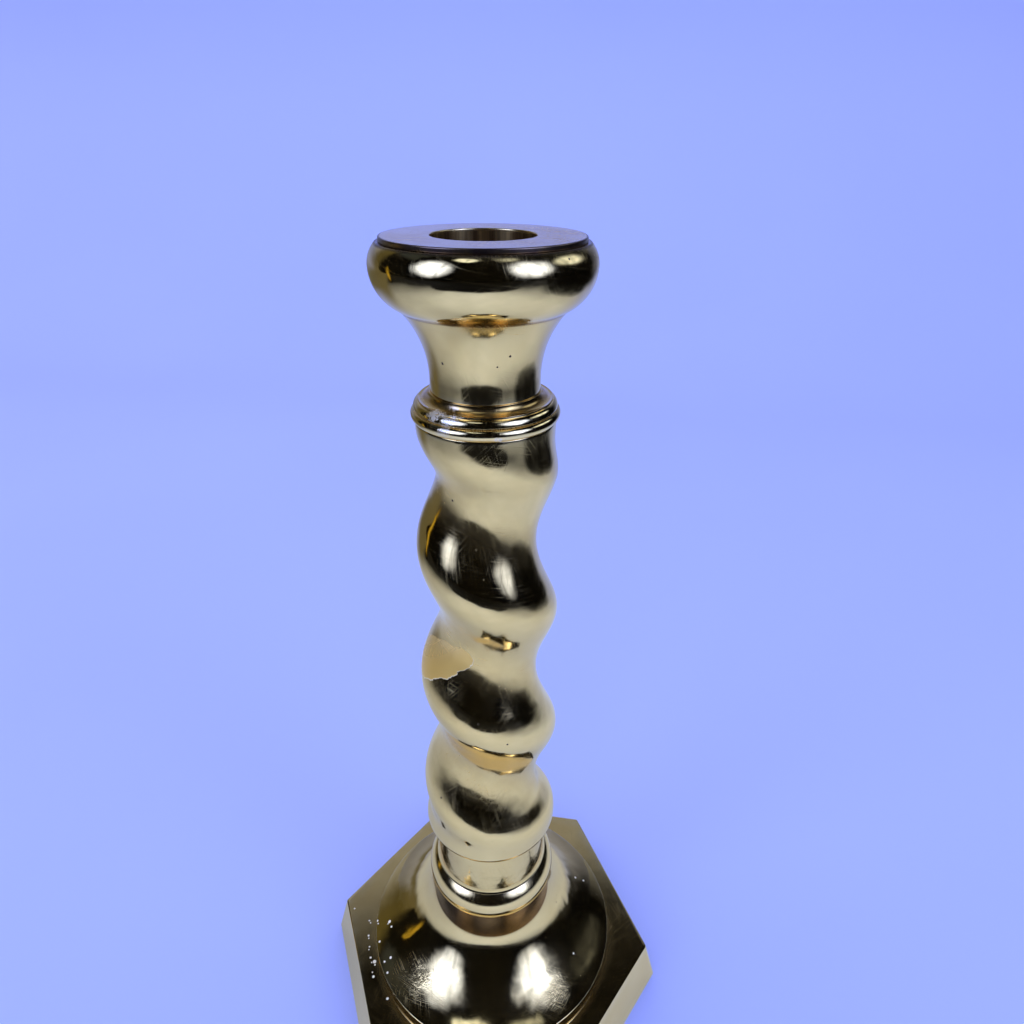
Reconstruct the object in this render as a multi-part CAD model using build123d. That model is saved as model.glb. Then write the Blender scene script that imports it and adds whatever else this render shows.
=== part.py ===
from build123d import *
import os
from math import cos, hypot, radians, sin, sqrt

os.makedirs("parts", exist_ok=True)

# A turned and cast brass candlestick: a hollow hexagonal foot, a left-hand barley-twist stem,
# a flared capital and a loose candle nozzle, clamped together by a rod up the middle.
# Sizes are in millimetres. +Z is up, the origin is the middle of the face on the table,
# and two corners of the hexagon lie on the X axis.

# Hexagonal foot: plate, bell and neck
base_across_flats = 104.8
plate_height = 16.5
plate_lean = 13.0
plate_corner_round = 1.2
plate_edge_round = 0.5
skirt_radius = 42.0
skirt_height = 5.5
skirt_fillet = 0.6
bell_rise = 19.5
bell_top_radius = 19.6
bell_curve = 34.0
neck_height = 9.0
neck_radius = 18.5

# Hollow under the foot
plate_wall = 4.5
plate_roof = 4.0
bell_wall = 4.0
crown_thickness = 4.5
hollow_corner_round = 2.5

# Bead ring between foot and stem
base_collar_height = 10.7
base_collar_radius = 20.6
base_collar_low_radius = 18.7
base_collar_high_radius = 18.2
base_collar_chamfer = 0.4

# Stem: plain foot, then the twist
foot_height = 17.9
foot_radius = 17.2
foot_flare_radius = 18.0
foot_flare_height = 1.7
foot_chamfer = 0.3
swell_radius = 20.3
swell_round = 2.5
twist_length = 133.2
twist_pitch = 41.4
twist_low_radius = 17.6
twist_high_radius = 14.5
twist_low_offset = 3.1
twist_high_offset = 2.6
twist_low_fade = 13.0
twist_high_fade = 15.5
twist_end_radius = 16.5
twist_start_angle = -20.0
stem_core_radius = 6.5

# Moulded ring between stem and capital, from its lowest member up
collar_bead_height = 2.6
collar_bead_radius = 17.3
collar_quirk_height = 0.4
collar_quirk_depth = 0.5
collar_ovolo_height = 1.6
collar_fillet_height = 0.4
collar_cove_height = 1.7
collar_low_radius = 16.4
collar_high_radius = 16.6
collar_ovolo_radius = 15.7
collar_fillet_radius = 15.4
collar_cove_radius = 12.95

# Capital: straight neck, flare and bulb
capital_neck_radius = 12.6
capital_neck_height = 2.9
flare_height = 15.0
flare_radius = 18.2
crease_height = 0.3
crease_step = 0.4
bulb_low_height = 8.7
bulb_high_height = 4.5
bulb_radius = 24.05
shoulder_radius = 22.2

# Candle nozzle
candle_bore_radius = 11.1
candle_depth = 20.5
nozzle_wall = 1.2
nozzle_floor = 1.5
nozzle_flange_radius = 21.5
nozzle_flange_height = 1.1
nozzle_edge_round = 0.3

# Rod, nut and washer
rod_diameter = 8.0
rod_tail = 3.0
rod_chamfer = 0.8
rod_grip = 6.0
nut_across_flats = 13.0
nut_height = 6.5
washer_radius = 12.0
washer_thickness = 1.6

# Fits
register_radius = 9.0
register_clearance = 0.1
rod_clearance = 0.3
thread_clearance = 0.05
nozzle_clearance = 0.3
nozzle_end_clearance = 0.5
rod_end_clearance = 1.0

# Heights that follow from the stack
skirt_top = plate_height + skirt_height
bell_top = skirt_top + bell_rise
neck_top = bell_top + neck_height
stem_bottom = neck_top + base_collar_height
foot_top = stem_bottom + foot_height
twist_bottom = foot_top + swell_round
stem_top = twist_bottom + twist_length
collar_height = (
    collar_bead_height + collar_quirk_height + collar_ovolo_height
    + collar_fillet_height + collar_cove_height
)
capital_bottom = stem_top + collar_height
flare_bottom = capital_bottom + capital_neck_height
flare_top = flare_bottom + flare_height
bulb_bottom = flare_top + crease_height
bulb_middle = bulb_bottom + bulb_low_height
capital_top = bulb_middle + bulb_high_height
nozzle_top = capital_top + nozzle_flange_height
nozzle_bottom = nozzle_top - candle_depth - nozzle_floor
cup_bottom = nozzle_bottom - nozzle_end_clearance
crown_bottom = bell_top - crown_thickness
nut_bottom = crown_bottom - washer_thickness - nut_height
rod_bottom = nut_bottom - rod_tail
rod_top = capital_bottom + rod_grip
rod_radius = rod_diameter / 2
base_register_height = base_collar_height / 3
collar_register_height = collar_height / 3
nozzle_tube_radius = candle_bore_radius + nozzle_wall


def turned(*lines):
    # Solid of revolution about Z from a closed outline given as (radius, height).
    return revolve(Plane.XZ * make_face(lines), Axis.Z)


def bar(radius, low, high):
    return Pos(0, 0, low) * Cylinder(radius, high - low, align=(Align.CENTER, Align.CENTER, Align.MIN))


def hexagon_prism(across_flats, height, lean):
    outline = RegularPolygon(across_flats / 2, 6, major_radius=False)
    return extrude(outline, height, taper=lean)


def corner_edges(prism, height):
    return [edge for edge in prism.edges() if edge.bounding_box().size.Z > height / 2]


def make_hex_base():
    plate = hexagon_prism(base_across_flats, plate_height, plate_lean)
    plate = fillet(corner_edges(plate, plate_height), plate_corner_round)
    rims = plate.edges().group_by(Axis.Z)
    plate = fillet(rims[0] + rims[-1], plate_edge_round)

    # The bell is hollowed outside: an arc from the skirt's rim to the neck's foot, centred off to the side.
    chord = hypot(skirt_radius - bell_top_radius, bell_rise)
    reach = sqrt(bell_curve**2 - chord**2 / 4) / chord
    curve_radius = (skirt_radius + bell_top_radius) / 2 + reach * bell_rise
    curve_height = (skirt_top + bell_top) / 2 + reach * (skirt_radius - bell_top_radius)
    body = turned(
        Polyline(
            (0, plate_height - plate_roof), (skirt_radius + skirt_fillet, plate_height - plate_roof),
            (skirt_radius + skirt_fillet, plate_height),
        ),
        TangentArc(
            (skirt_radius + skirt_fillet, plate_height), (skirt_radius, plate_height + skirt_fillet),
            tangent=(-1, 0),
        ),
        Line((skirt_radius, plate_height + skirt_fillet), (skirt_radius, skirt_top)),
        RadiusArc((skirt_radius, skirt_top), (bell_top_radius, bell_top), bell_curve),
        Polyline(
            (bell_top_radius, bell_top), (neck_radius, neck_top), (0, neck_top), (0, plate_height - plate_roof),
        ),
    )
    body += bar(register_radius, neck_top, neck_top + base_register_height)

    # The hollow follows the outside, one wall further in, up to a flat seat for the washer.
    hollow_height = plate_height - plate_roof
    hollow = hexagon_prism(base_across_flats - 2 * plate_wall, hollow_height, plate_lean)
    hollow = fillet(corner_edges(hollow, hollow_height), hollow_corner_round)
    inner_radius = skirt_radius - bell_wall
    inner_curve = bell_curve + bell_wall
    inner_rim = curve_height - sqrt(inner_curve**2 - (curve_radius - inner_radius) ** 2)
    seat_radius = curve_radius - sqrt(inner_curve**2 - (curve_height - crown_bottom) ** 2)
    hollow += turned(
        Polyline((0, crown_bottom), (0, 0), (inner_radius, 0), (inner_radius, inner_rim)),
        RadiusArc((inner_radius, inner_rim), (seat_radius, crown_bottom), inner_curve),
        Line((seat_radius, crown_bottom), (0, crown_bottom)),
    )
    rod_hole = bar(rod_radius + rod_clearance, 0, neck_top + base_register_height)
    return plate + body - hollow - rod_hole


def make_base_collar():
    low, high = neck_top, stem_bottom
    bore = register_radius + register_clearance
    edge = high - base_collar_chamfer
    return turned(
        Polyline((bore, high), (bore, low), (base_collar_low_radius, low)),
        ThreePointArc(
            (base_collar_low_radius, low),
            (base_collar_radius, (low + high) / 2),
            (base_collar_high_radius, edge),
        ),
        Polyline((base_collar_high_radius, edge), (base_collar_high_radius - base_collar_chamfer, high), (bore, high)),
    )


def fade(distance, length):
    # Smooth step from 0 at an end of the twist to 1 at the given length from it.
    share = min(max(distance / length, 0), 1)
    return share * share * (3 - 2 * share)


def twist_section(height):
    # A circle whose centre winds left-handed round the axis. Towards each end the offset fades
    # and the radius grows to a plain round, so that the groove runs out.
    share = height / twist_length
    low = fade(height, twist_low_fade)
    high = fade(twist_length - height, twist_high_fade)
    radius = twist_low_radius + share * (twist_high_radius - twist_low_radius)
    radius = low * radius + (1 - low) * swell_radius
    radius = high * radius + (1 - high) * twist_end_radius
    offset = twist_low_offset + share * (twist_high_offset - twist_low_offset)
    offset *= low * high
    angle = radians(twist_start_angle - 360 * height / twist_pitch)
    return Pos(offset * cos(angle), offset * sin(angle), twist_bottom + height) * Circle(radius)


def make_twist_stem():
    steps_per_turn = 10
    steps = max(6, round(steps_per_turn * twist_length / twist_pitch))
    twist = loft([twist_section(twist_length * step / steps) for step in range(steps + 1)])

    flare_top_height = stem_bottom + foot_chamfer + foot_flare_height
    foot = turned(
        Polyline(
            (0, twist_bottom), (0, stem_bottom), (foot_flare_radius - foot_chamfer, stem_bottom),
            (foot_flare_radius, stem_bottom + foot_chamfer),
        ),
        TangentArc(
            (foot_radius, flare_top_height), (foot_flare_radius, stem_bottom + foot_chamfer), tangent=(0, -1)
        ),
        Polyline((foot_radius, flare_top_height), (foot_radius, foot_top), (swell_radius - swell_round, foot_top)),
        TangentArc((swell_radius - swell_round, foot_top), (swell_radius, twist_bottom), tangent=(1, 0)),
        Line((swell_radius, twist_bottom), (0, twist_bottom)),
    )
    spigots = bar(register_radius, stem_bottom - base_register_height, stem_bottom)
    spigots += bar(register_radius, stem_top, stem_top + collar_register_height)
    core = bar(stem_core_radius, stem_bottom - base_register_height, stem_top + collar_register_height)
    return twist + foot + spigots - core


def make_upper_collar():
    bore = register_radius + register_clearance
    bead_top = stem_top + collar_bead_height
    quirk = bead_top + collar_quirk_height / 2
    ovolo_bottom = bead_top + collar_quirk_height
    ovolo_top = ovolo_bottom + collar_ovolo_height
    cove_bottom = ovolo_top + collar_fillet_height
    return turned(
        Polyline((bore, capital_bottom), (bore, stem_top), (collar_low_radius, stem_top)),
        ThreePointArc(
            (collar_low_radius, stem_top),
            (collar_bead_radius, (stem_top + bead_top) / 2),
            (collar_high_radius, bead_top),
        ),
        Polyline(
            (collar_high_radius, bead_top), (collar_high_radius - collar_quirk_depth, quirk),
            (collar_high_radius, ovolo_bottom),
        ),
        TangentArc((collar_high_radius, ovolo_bottom), (collar_ovolo_radius, ovolo_top), tangent=(0, 1)),
        Polyline(
            (collar_ovolo_radius, ovolo_top), (collar_fillet_radius, ovolo_top),
            (collar_fillet_radius, cove_bottom),
        ),
        TangentArc((collar_cove_radius, capital_bottom), (collar_fillet_radius, cove_bottom), tangent=(0, -1)),
        Line((collar_cove_radius, capital_bottom), (bore, capital_bottom)),
    )


def make_capital():
    cup_radius = nozzle_tube_radius + nozzle_clearance
    spigot_bottom = capital_bottom - collar_register_height
    hole_radius = rod_radius + thread_clearance
    body = turned(
        Polyline(
            (0, capital_top), (0, capital_bottom), (capital_neck_radius, capital_bottom),
            (capital_neck_radius, flare_bottom),
        ),
        TangentArc((capital_neck_radius, flare_bottom), (flare_radius, flare_top), tangent=(0, 1)),
        Line((flare_radius, flare_top), (flare_radius + crease_step, bulb_bottom)),
        TangentArc((bulb_radius, bulb_middle), (flare_radius + crease_step, bulb_bottom), tangent=(0, -1)),
        TangentArc((bulb_radius, bulb_middle), (shoulder_radius, capital_top), tangent=(0, 1)),
        Line((shoulder_radius, capital_top), (0, capital_top)),
    )
    body += bar(register_radius, spigot_bottom, capital_bottom)
    body -= bar(cup_radius, cup_bottom, capital_top)
    return body - bar(hole_radius, spigot_bottom, rod_top + rod_end_clearance)


def make_nozzle():
    tube = bar(nozzle_tube_radius, nozzle_bottom, nozzle_top)
    flange = bar(nozzle_flange_radius, capital_top, nozzle_top)
    socket = bar(candle_bore_radius, nozzle_bottom + nozzle_floor, nozzle_top)
    nozzle = tube + flange - socket
    return fillet(nozzle.edges().group_by(Axis.Z)[-1], nozzle_edge_round)


def make_tie_rod():
    rod = bar(rod_radius, rod_bottom, rod_top)
    ends = rod.edges().group_by(Axis.Z)
    return chamfer(ends[0] + ends[-1], rod_chamfer)


def make_rod_nut():
    blank = Pos(0, 0, nut_bottom) * hexagon_prism(nut_across_flats, nut_height, 0)
    return blank - bar(rod_radius + thread_clearance, nut_bottom, nut_bottom + nut_height)


def make_rod_washer():
    low = nut_bottom + nut_height
    return bar(washer_radius, low, crown_bottom) - bar(rod_radius + rod_clearance, low, crown_bottom)


pieces = {
    "hex_base": make_hex_base,
    "base_collar": make_base_collar,
    "twist_stem": make_twist_stem,
    "upper_collar": make_upper_collar,
    "capital": make_capital,
    "nozzle": make_nozzle,
    "tie_rod": make_tie_rod,
    "rod_nut": make_rod_nut,
    "rod_washer": make_rod_washer,
}

for name, make in pieces.items():
    export_step(make(), f"parts/{name}.step")
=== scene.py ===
import bpy
import numpy as np
from mathutils import Matrix


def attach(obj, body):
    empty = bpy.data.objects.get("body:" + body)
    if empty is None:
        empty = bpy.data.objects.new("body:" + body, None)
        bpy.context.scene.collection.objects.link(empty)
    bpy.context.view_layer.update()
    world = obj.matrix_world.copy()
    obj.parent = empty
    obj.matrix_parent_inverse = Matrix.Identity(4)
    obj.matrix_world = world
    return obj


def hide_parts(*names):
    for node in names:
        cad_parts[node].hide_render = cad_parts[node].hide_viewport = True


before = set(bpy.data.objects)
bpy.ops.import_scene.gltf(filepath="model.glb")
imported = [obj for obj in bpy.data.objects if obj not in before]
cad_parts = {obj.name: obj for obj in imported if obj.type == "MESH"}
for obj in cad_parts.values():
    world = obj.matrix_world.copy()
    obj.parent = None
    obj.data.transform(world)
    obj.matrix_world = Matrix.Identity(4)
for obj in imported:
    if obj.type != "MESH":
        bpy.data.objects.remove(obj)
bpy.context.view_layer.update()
scene = bpy.context.scene
scene.view_settings.view_transform = "Standard"
mm = 0.001
print("frame loaded, nodes:", len(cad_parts))


# Outlines. A profile is an array of (radius, height) rows in millimetres.

def tangentArc(start, end, tangent, count=24):
    # arc that leaves start along tangent and reaches end; its centre lies on the normal at start
    p, q, t = (np.array(v, float) for v in (start, end, tangent))
    normal = np.array([-t[1], t[0]]) / np.hypot(*t)
    chord = q - p
    radius = chord @ chord / (2 * (normal @ chord))
    centre = p + normal * radius
    first = np.arctan2(*(p - centre)[::-1])
    last = np.arctan2(*(q - centre)[::-1])
    turn = (last - first) % (2 * np.pi) if radius > 0 else -((first - last) % (2 * np.pi))
    angle = first + turn * np.linspace(0, 1, count)
    return centre + abs(radius) * np.stack([np.cos(angle), np.sin(angle)], 1)


def arcThrough(start, middle, end, count=32):
    # arc through three points: the chord's bulge gives the tangent at start
    p, m, q = (np.array(v, float) for v in (start, middle, end))
    a, b = m - p, q - p
    cross = 2 * (a[0] * b[1] - a[1] * b[0])
    centre = p + np.array([b[1] * (a @ a) - a[1] * (b @ b), a[0] * (b @ b) - b[0] * (a @ a)]) / cross
    spoke = p - centre
    tangent = np.array([-spoke[1], spoke[0]]) * np.sign(cross)
    return tangentArc(start, end, tangent, count)


def run(*parts):
    # one polyline from points and arcs laid end to end, repeats dropped
    rows = np.concatenate([np.atleast_2d(np.array(part, float)) for part in parts])
    step = np.abs(np.diff(rows, axis=0)).sum(1)
    return rows[np.concatenate([[True], step > 1e-6])]


def soften(rows, radius, closed=True, limit=14, most=0.42):
    # rounds every corner sharper than limit degrees: p(s) = (1-s)^2 a + 2 s (1-s) corner + s^2 b,
    # with a and b at most that share of the neighbouring lengths away
    before, after = np.roll(rows, 1, 0), np.roll(rows, -1, 0)
    s = np.linspace(0, 1, 7)[:, None]
    out = []
    for i, (a, p, b) in enumerate(zip(before, rows, after)):
        la, lb = np.hypot(*(p - a)[:2]), np.hypot(*(b - p)[:2])
        end = not closed and i in (0, len(rows) - 1)
        bend = 0 if end else np.arccos(np.clip((p - a)[:2] @ (b - p)[:2] / (la * lb), -1, 1))
        if bend < np.radians(limit):
            out.append(p[None])
            continue
        reach = min(radius * np.tan(bend / 2), most * la, most * lb)
        near, far = p + (a - p) * reach / la, p + (b - p) * reach / lb
        out.append((1 - s) ** 2 * near + 2 * s * (1 - s) * p + s * s * far)
    return np.concatenate(out)


def spread(rows, step=2.0, margin=0.12, closed=True):
    # extra rows on long straight runs, with one close to each end so that flats stay flat
    after = np.roll(rows, -1, 0) if closed else rows[1:]
    out = []
    for a, b in zip(rows, after):
        length = np.hypot(*(b - a)[:2])
        share = np.array([0.0])
        if length > 4 * margin:
            inner = np.linspace(0, 1, int(np.ceil(length / step)) + 1)[1:-1]
            share = np.concatenate([[0, margin / length], inner, [1 - margin / length]])
        out.append(a + (b - a) * share[:, None])
    return np.concatenate(out + ([] if closed else [rows[-1:]]))


def turning(rows, closed=True, reach=0.45):
    # signed bend of the profile gathered over reach millimetres: above 0 at edges, below 0 in recesses
    flat = rows[:, :2]
    back, ahead = flat - np.roll(flat, 1, 0), np.roll(flat, -1, 0) - flat
    bend = np.arctan2(back[:, 0] * ahead[:, 1] - back[:, 1] * ahead[:, 0], (back * ahead).sum(1))
    if not closed:
        bend[[0, -1]] = 0
    place = np.concatenate([[0], np.cumsum(np.hypot(*np.diff(flat, axis=0).T))])
    gap = np.abs(place[:, None] - place[None])
    if closed:
        whole = place[-1] + np.hypot(*(flat[0] - flat[-1]))
        gap = np.minimum(gap, whole - gap)
    area = (flat[:, 0] * np.roll(flat[:, 1], -1) - np.roll(flat[:, 0], -1) * flat[:, 1]).sum()
    return np.sign(area) * np.exp(-0.5 * (gap / reach) ** 2) @ bend


# Meshes. A grid is rows x columns x 3 in millimetres, and its columns close round the axis.

def surface(name, grid, closed=True, poles=False, **fields):
    rows, columns = grid.shape[:2]
    index = np.arange(rows * columns).reshape(rows, columns)
    last = rows if closed else rows - 1
    low, high = index[:last], np.roll(index, -1, 0)[:last]
    quads = np.stack([low, np.roll(low, -1, 1), np.roll(high, -1, 1), high], -1).reshape(-1, 4)
    points = grid.reshape(-1, 3)
    faces = quads.tolist()
    if poles:  # the first and last rows draw in to one point on the axis
        tips = [grid[0].mean(0), grid[-1].mean(0)]
        first, end = len(points), len(points) + 1
        points = np.concatenate([points, tips])
        faces += np.stack([np.roll(index[0], -1), index[0], np.full(columns, first)], -1).tolist()
        faces += np.stack([index[-1], np.roll(index[-1], -1), np.full(columns, end)], -1).tolist()
    corner = points[quads]
    volume = np.einsum("ij,ij->", corner[:, 0], np.cross(corner[:, 1], corner[:, 2]))
    volume += np.einsum("ij,ij->", corner[:, 0], np.cross(corner[:, 2], corner[:, 3]))
    if volume < 0:
        faces = [face[::-1] for face in faces]
    mesh = bpy.data.meshes.new(name)
    mesh.from_pydata((points * mm).tolist(), [], faces)
    for field, values in fields.items():
        flat = np.broadcast_to(values, (rows, columns)).reshape(-1)
        flat = np.concatenate([flat, np.full(len(points) - flat.size, flat[0])])
        mesh.attributes.new(field, "FLOAT", "POINT").data.foreach_set("value", flat.astype(np.float32))
    mesh.polygons.foreach_set("use_smooth", np.ones(len(mesh.polygons), bool))
    mesh.update()
    thing = bpy.data.objects.new(name, mesh)
    scene.collection.objects.link(thing)
    return thing


def spun(name, rows, closed=True, columns=192):
    # surface of revolution: (r cos u, r sin u, z) for each profile row
    angle = np.linspace(0, 2 * np.pi, columns, endpoint=False)
    radius, height = rows[:, :1], rows[:, 1:2]
    grid = np.stack([radius * np.cos(angle), radius * np.sin(angle), height + 0 * angle], -1)
    bend = turning(rows, closed)[:, None]
    trim = slice(None) if closed else slice(1, -1)  # the two rows on the axis become the poles
    return surface(
        name, grid[trim], closed, not closed,
        edge=np.clip(bend, 0, 1)[trim], recess=np.clip(-bend, 0, 1)[trim],
    )


def seat(piece, node, body, material):
    piece.data.materials.append(material)
    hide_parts(node)
    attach(piece, body)
    print("made", piece.name, "faces:", len(piece.data.polygons))
    return piece


# Shader arithmetic.

class Wire:
    # an output socket that takes part in Python sums; a sum on values adds a Math node
    def __init__(self, tree, socket=None):
        self.tree = tree
        self.socket = socket

    def make(self, kind, settings=None, inputs=None, out=0):
        node = self.tree.nodes.new(kind)
        for key, value in (settings or {}).items():
            setattr(node, key, value)
        for key, value in (inputs or {}).items():
            if isinstance(value, Wire):
                self.tree.links.new(value.socket, node.inputs[key])
            else:
                node.inputs[key].default_value = value
        return Wire(self.tree, node.outputs[out] if len(node.outputs) else None)

    def other(self, out):
        return Wire(self.tree, self.socket.node.outputs[out])

    def sum(self, operation, first, second):
        return self.make("ShaderNodeMath", {"operation": operation}, {0: first, 1: second})

    def __add__(self, other):
        return self.sum("ADD", self, other)

    def __sub__(self, other):
        return self.sum("SUBTRACT", self, other)

    def __rsub__(self, other):
        return self.sum("SUBTRACT", other, self)

    def __mul__(self, other):
        return self.sum("MULTIPLY", self, other)

    __radd__ = __add__
    __rmul__ = __mul__

    def above(self, low, high):
        # smooth step from 0 at low to 1 at high
        return self.make(
            "ShaderNodeMapRange", {"interpolation_type": "SMOOTHSTEP"},
            {"Value": self, "From Min": low, "From Max": high},
        )

    def size(self):
        return self.make("ShaderNodeMath", {"operation": "ABSOLUTE"}, {0: self})

    def between(self, low, high, soft):
        # 1 from low to high, falling to 0 over soft on either side
        return self.above(low - soft, low) * (1 - self.above(high, high + soft))

    def limit(self):
        return self.make("ShaderNodeClamp", {}, {"Value": self})

    def tint(self, first, second):
        # colour first where this value is 0 and second where it is 1
        first = first if isinstance(first, Wire) else (*first, 1)
        second = second if isinstance(second, Wire) else (*second, 1)
        return self.make("ShaderNodeMix", {"data_type": "RGBA"}, {0: self, 6: first, 7: second}, 2)


def blank(name):
    material = bpy.data.materials.new(name)
    material.use_nodes = True
    material.node_tree.nodes.clear()
    return material, Wire(material.node_tree)


def noise(w, place, scale, detail=3, roughness=0.55, distortion=0):
    return w.make("ShaderNodeTexNoise", {}, {
        "Vector": place, "Scale": scale, "Detail": detail, "Roughness": roughness, "Distortion": distortion})


def dots(w, place, scale, size, share):
    # round spots in a share of Voronoi cells, size in cells
    soft = 0.01
    cell = w.make("ShaderNodeTexVoronoi", {}, {"Vector": place, "Scale": scale})
    chosen = w.make("ShaderNodeSeparateColor", {}, {"Color": cell.other("Color")})
    return (1 - cell.above(size * 0.5, size)) * chosen.above(1 - share - soft, 1 - share + soft)


def near(w, place, centre, reach):
    # 1 at a point given in millimetres, fading to 0 at reach
    solid = 0.45
    gap = w.make("ShaderNodeVectorMath", {"operation": "DISTANCE"}, {
        0: place, 1: tuple(v * mm for v in centre)}, "Value")
    return 1 - gap.above(reach * solid * mm, reach * mm)


def field(w, name):
    return w.make("ShaderNodeAttribute", {"attribute_name": name}, None, "Fac")


def closeMaterial(w, colour, metal, rough, height):
    bump = w.make("ShaderNodeBump", {}, {"Strength": 1.0, "Distance": 1.0, "Height": height})
    shader = w.make("ShaderNodeBsdfPrincipled", {}, {
        "Base Color": colour, "Metallic": metal, "Roughness": rough, "Normal": bump})
    w.make("ShaderNodeOutputMaterial", {}, {"Surface": shader})


# Brass, shared by all the pieces that show.

brassTones = {
    "pale": (0.89, 0.66, 0.27), "deep": (0.79, 0.52, 0.16), "worn": (0.93, 0.8, 0.5),
    "toned": (0.5, 0.31, 0.09), "brown": (0.27, 0.15, 0.045), "dark": (0.07, 0.036, 0.06),
    "pit": (0.06, 0.045, 0.03), "shadeDark": (0.05, 0.026, 0.01),
    "wax": (0.8, 0.77, 0.7), "bare": (0.9, 0.85, 0.78),
}

brassGrain = {
    # noises: scale per metre, detail, roughness
    "cloud": (34, 4, 0.6), "mottle": (150, 5, 0.62), "ripple": (120, 1.5, 0.45),
    "ring": (2600, 3, 0.7), "ringDrag": 0.02, "ringEvery": 0.35,
    "ringPatch": (60, 2), "ringRange": (0.42, 0.66),
    # scratches: turn, scale, threshold
    "hair": ((0.35, 3400, 0.56), (-0.9, 4000, 0.57), (1.4, 3000, 0.57)),
    "deep": ((0.7, 1700, 0.68), (-0.4, 2000, 0.69)),
    "skinRadius": 0.02, "strokeLength": 28, "strokeSoft": 0.09,
    "strokePatch": 85, "strokePatchTurn": 40, "strokeRange": (0.36, 0.62),
    # pits: scale, size in cells, share of the cells
    "pits": ((210, 0.055, 0.26), (480, 0.06, 0.05)), "pitDepth": 2e-5,
    "filmLeast": 0.35, "filmTone": 0.85, "filmDull": 0.1, "wornRange": (0.35, 0.6), "wornShare": 0.4,
    "toneCloud": 1.1, "toneMottle": 0.5, "toneShift": 0.22,
    "roughCloud": 0.14, "roughMottle": 0.08, "roughHair": 0.2, "roughFilm": 0.22, "roughRing": 0.12,
    # heights in metres
    "mottleHeight": 1.2e-6, "hairDepth": 3e-6, "deepDepth": 1.2e-5, "ringHeight": 3e-6,
}


def brassLook(name, roughness=0.07, rings=0.3, ringSlope=1, rub=0.5, waves=1.5e-4, dirt=1.0):
    # polished and handled brass: cloudy polish, hair scratches, turning marks, film in recesses, pits
    g = brassGrain
    material, w = blank(name)
    place = w.make("ShaderNodeTexCoord", None, None, "Object")
    recess, edge = field(w, "recess"), field(w, "edge")
    axes = w.make("ShaderNodeSeparateXYZ", {}, {0: place})
    flat = w.make("ShaderNodeCombineXYZ", {}, {0: axes, 1: axes.other(1)})
    radius = w.make("ShaderNodeVectorMath", {"operation": "LENGTH"}, {0: flat}, "Value")
    cloud, mottle, ripple = (noise(w, place, *g[key]) for key in ("cloud", "mottle", "ripple"))

    # turning marks run round the axis, so they vary quickly along the profile and slowly round it
    along = axes.other(2) + radius * ringSlope
    grain = w.make("ShaderNodeCombineXYZ", {}, {
        0: axes * g["ringDrag"], 1: axes.other(1) * g["ringDrag"], 2: along})
    ring = noise(w, grain, *g["ring"])
    ringPatch = noise(w, place, *g["ringPatch"]).above(*g["ringRange"])

    # hair scratches: noise on the unrolled skin (turn round the axis, run along the profile), drawn out
    # along a few directions and broken up by a coarser noise; the deep ones are fewer
    around = w.sum("ARCTAN2", axes, axes.other(1) * -1) * g["skinRadius"]
    skin = w.make("ShaderNodeCombineXYZ", {}, {0: around, 1: along})

    def scratches(strokes):
        lines = None
        for turn, scale, low in strokes:
            drawn = w.make("ShaderNodeMapping", {"vector_type": "TEXTURE"}, {
                "Vector": skin, "Rotation": (0, 0, turn), "Scale": (1, g["strokeLength"], 1)})
            stroke = noise(w, drawn, scale, detail=2, roughness=0.5).above(low, low + g["strokeSoft"])
            patch = noise(w, place, g["strokePatch"] + g["strokePatchTurn"] * turn, 3)
            stroke = stroke * patch.above(*g["strokeRange"])
            lines = stroke if lines is None else lines + stroke
        return lines.limit() * rub

    hair, deep = scratches(g["hair"]), scratches(g["deep"])
    film = (recess * (g["filmLeast"] + mottle) * dirt).limit()
    tone = ((cloud - 0.5) * g["toneCloud"] + g["toneShift"] + (mottle - 0.5) * g["toneMottle"]).limit()
    colour = tone.tint(brassTones["pale"], brassTones["deep"])
    colour = (film * g["filmTone"]).limit().tint(colour, brassTones["toned"])
    colour = (edge * mottle.above(*g["wornRange"]) * g["wornShare"]).tint(colour, brassTones["worn"])
    rough = roughness + (cloud - 0.45) * g["roughCloud"] + (mottle - 0.5) * g["roughMottle"]
    rough = rough + hair * g["roughHair"] + film * g["roughFilm"] + ring * ringPatch * rings * g["roughRing"]
    height = ripple * waves + mottle * g["mottleHeight"] - hair * g["hairDepth"] - deep * g["deepDepth"]
    height = height + ring * (g["ringEvery"] + ringPatch) * (rings * g["ringHeight"])
    look = {
        "material": material, "w": w, "place": place, "axes": axes, "radius": radius,
        "cloud": cloud, "mottle": mottle, "hair": hair,
        "colour": colour, "rough": rough, "metal": 1 - film * g["filmDull"], "height": height,
    }
    coarse, fine = (dots(w, place, *spots) for spots in g["pits"])
    layer(look, (coarse + fine).limit(), brassTones["pit"], rough=0.45, metal=0.5, height=-g["pitDepth"])
    return look


def layer(look, mask, colour, rough=None, metal=None, height=0):
    # another skin where mask is 1, with its own colour, roughness and metal share, raised by height metres
    look["colour"] = mask.tint(look["colour"], colour)
    if rough is not None:
        look["rough"] = look["rough"] * (1 - mask) + mask * rough
    if metal is not None:
        look["metal"] = look["metal"] * (1 - mask) + mask * metal
    if height:
        look["height"] = look["height"] + mask * height


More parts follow.
